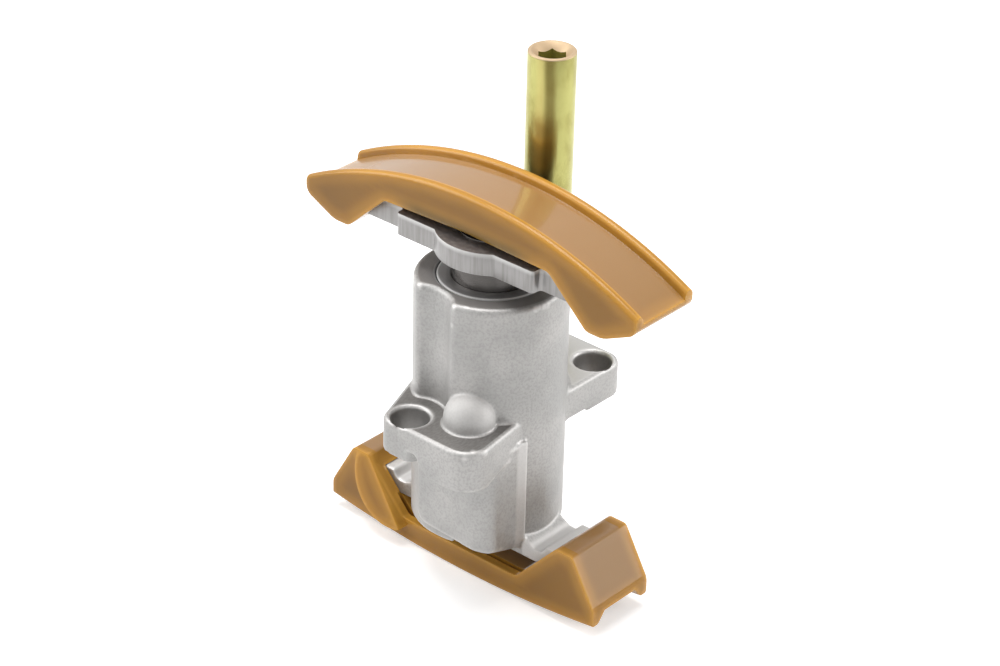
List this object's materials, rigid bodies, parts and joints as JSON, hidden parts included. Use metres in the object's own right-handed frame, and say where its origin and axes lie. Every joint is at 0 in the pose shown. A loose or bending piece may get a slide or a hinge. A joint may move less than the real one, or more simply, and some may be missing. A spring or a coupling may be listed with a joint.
{
  "type": "timing chain tensioner",
  "caption": "Hydraulic timing chain tensioner: cast housing with bolt ears, sprung plunger under an arched sliding shoe, a lower guide shoe and a guide pillar.",
  "frame": {"origin": "midway between the two bolt holes, on the seat plane under the ears", "axes": "+Z along the plunger towards the upper shoe, +X along the shoes' length, so the chain runs along X; the ear with the dome is towards -Y"},
  "size_m": [0.0742, 0.0446, 0.0925],
  "materials": {
    "cast_alloy": "as cast, fine matt grain, machined ear tops",
    "liner_steel": "ground",
    "plunger_steel": "ground",
    "spring_steel": "drawn wire",
    "ball_steel": "polished",
    "plate_steel": "stamped, sheared edge",
    "zinc_plated": "yellow passivated zinc",
    "shoe_plastic": "moulded nylon, caramel",
    "insert_plastic": "moulded",
    "seal_rubber": "matt"
  },
  "bodies": {
    "block": {"housing": "cast_alloy", "liner": "liner_steel", "retaining_ring": "spring_steel", "valve_seat": "liner_steel", "seat_seal": "seal_rubber", "valve_cage": "spring_steel", "ball_spring": "spring_steel", "main_spring": "spring_steel", "screen_ring": "liner_steel", "feed_screen": "spring_steel", "guide_pillar": "zinc_plated", "lower_shoe": "shoe_plastic"},
    "piston": {"plunger": "plunger_steel", "vent_disc": "liner_steel", "filler": "insert_plastic", "carrier_plate": "plate_steel", "upper_shoe": "shoe_plastic"},
    "ball": {"check_ball": "ball_steel"}
  },
  "joints": [
    {"name": "plunger_slide", "type": "slide", "parent": "block", "child": "piston", "axis": [0, 0, 1], "range_m": [0, 0.008], "deforming": ["main_spring"]},
    {"name": "ball_lift", "type": "slide", "parent": "block", "child": "ball", "axis": [0, 0, 1], "range_m": [0, 0.0008], "deforming": ["ball_spring"]}
  ]
}
